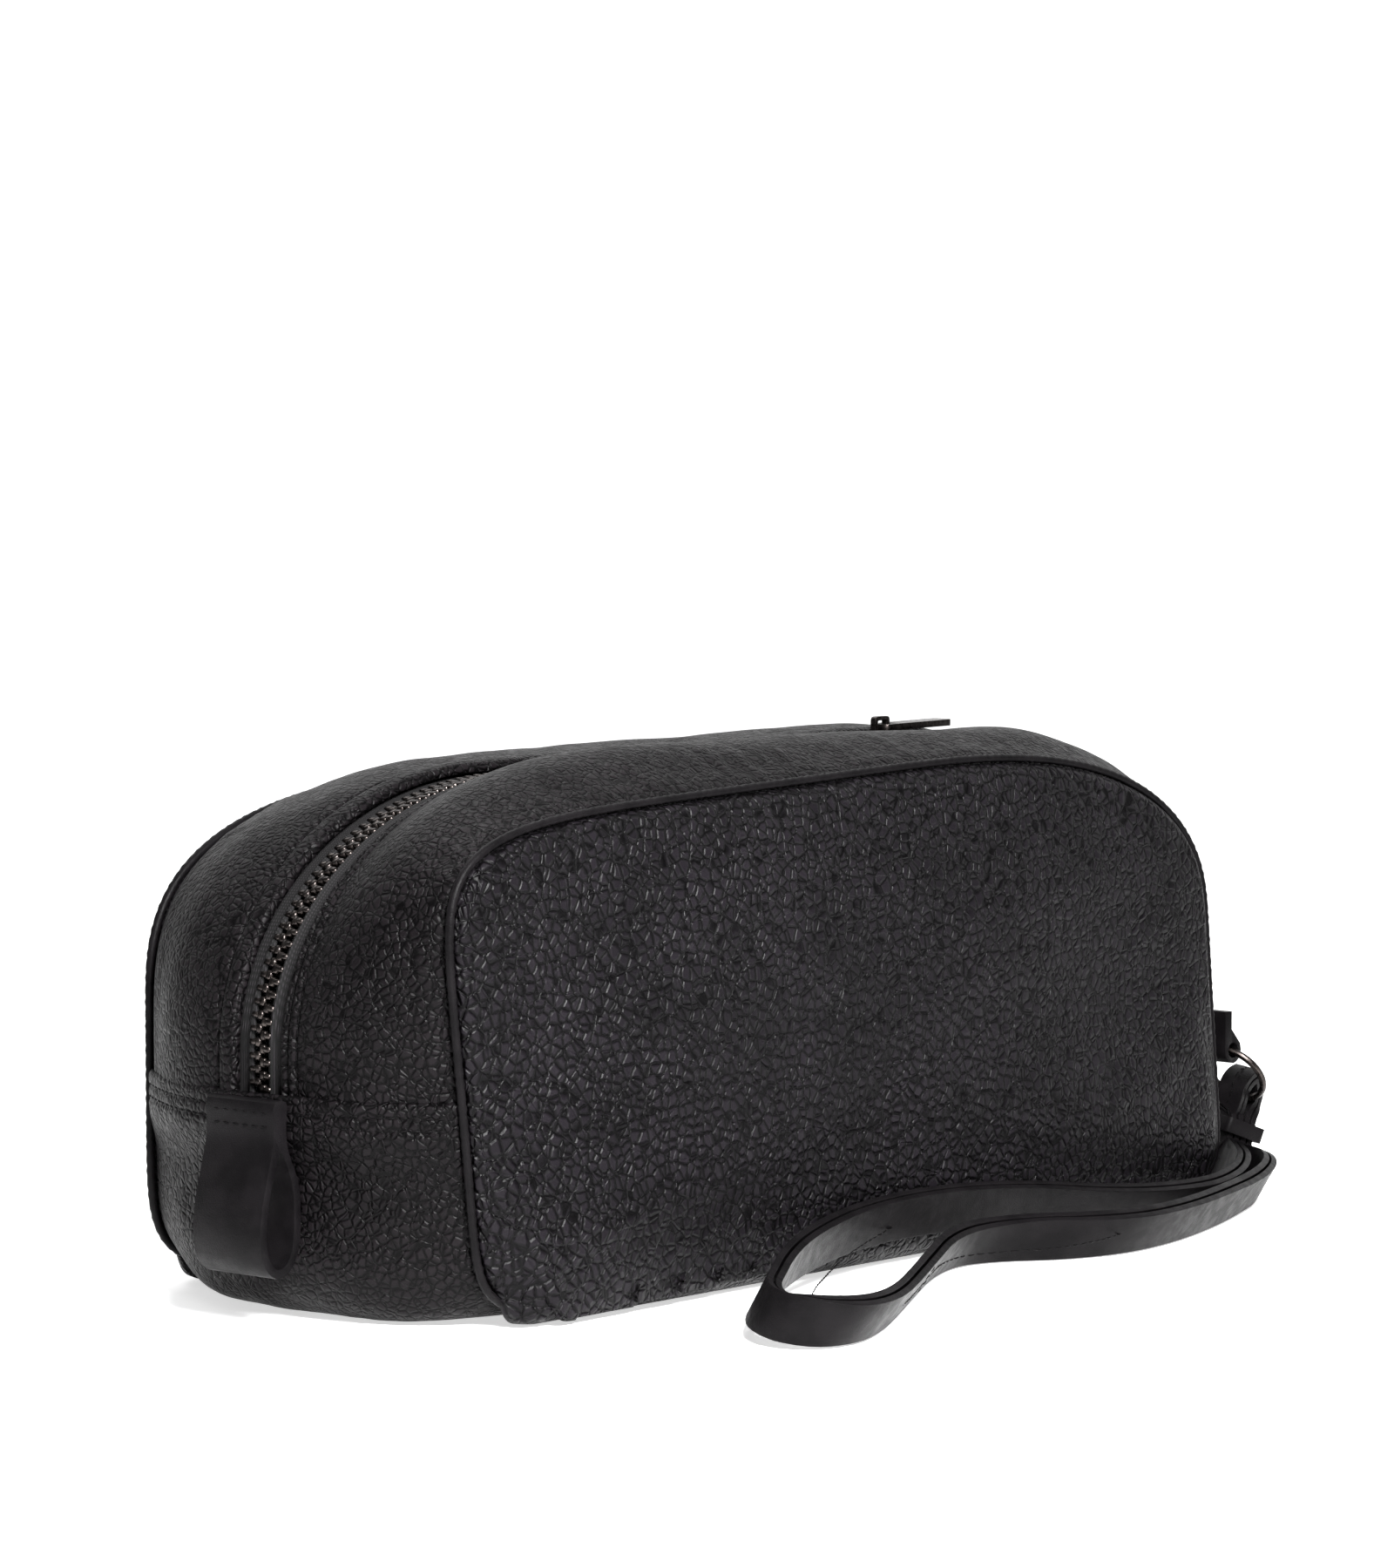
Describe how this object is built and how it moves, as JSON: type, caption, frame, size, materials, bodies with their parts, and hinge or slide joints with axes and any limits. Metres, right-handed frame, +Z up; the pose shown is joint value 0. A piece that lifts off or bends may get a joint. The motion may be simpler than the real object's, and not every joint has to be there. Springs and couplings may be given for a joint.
{
  "type": "makeup bag",
  "caption": "Soft box-shaped leather makeup bag with a zip over the top, a folded end tab and a wrist strap on a ring.",
  "frame": {"origin": "middle of the underside, on the surface the bag stands on", "axes": "+X along the length towards the end with the wrist strap, +Y to the back panel, +Z up"},
  "size_m": [0.3331, 0.1867, 0.1254],
  "materials": {
    "pebbled_leather": "pebbled, satin",
    "smooth_leather": "smooth, satin",
    "lining": "woven",
    "zip_tape": "woven tape",
    "gunmetal": "dark gunmetal plating, polished"
  },
  "bodies": {
    "bag": {"front_panel": "pebbled_leather", "back_panel": "pebbled_leather", "top_gusset_front": "pebbled_leather", "top_gusset_back": "pebbled_leather", "base_gusset": "pebbled_leather", "front_welt": "pebbled_leather", "back_welt": "pebbled_leather", "ring_keeper": "smooth_leather", "front_lining": "lining", "back_lining": "lining", "top_lining_front": "lining", "top_lining_back": "lining", "base_lining": "lining", "zip_tape_front": "zip_tape", "zip_tape_back": "zip_tape", "zip_teeth_front": "gunmetal", "zip_teeth_back": "gunmetal", "zip_stop_left": "gunmetal", "zip_stop_right": "gunmetal"},
    "zip_slider": {"zip_slider_top": "gunmetal", "zip_slider_under": "gunmetal", "zip_slider_bail": "gunmetal"},
    "puller": {"zip_puller": "gunmetal"},
    "tab": {"end_tab": "smooth_leather"},
    "ring": {"strap_ring": "gunmetal"},
    "strap": {"wrist_strap_outer": "smooth_leather", "wrist_strap_inner": "smooth_leather", "strap_collar": "smooth_leather"}
  },
  "joints": [
    {"name": "zip_slide", "type": "slide", "parent": "bag", "child": "zip_slider", "axis": [-1, 0, 0], "range_m": [0, 0.136]},
    {"name": "puller_swing", "type": "hinge", "parent": "zip_slider", "child": "puller", "pos_m": [0.06565, 0, 0.12135], "axis": [0, -1, 0], "range_deg": [0, 180]},
    {"name": "end_tab_swing", "type": "hinge", "parent": "bag", "child": "tab", "pos_m": [-0.1579, -0.002, 0.0512], "axis": [0, 1, 0], "range_deg": [0, 80]},
    {"name": "ring_swing", "type": "hinge", "parent": "bag", "child": "ring", "pos_m": [0.1508, -0.0436, 0.0365], "axis": [0, -1, 0], "range_deg": [-8, 0]},
    {"name": "strap_swing", "type": "hinge", "parent": "ring", "child": "strap", "pos_m": [0.16068, -0.04187, 0.02339], "axis": [-0.1251, 0.9782, 0.166], "range_deg": [0, 14]}
  ]
}
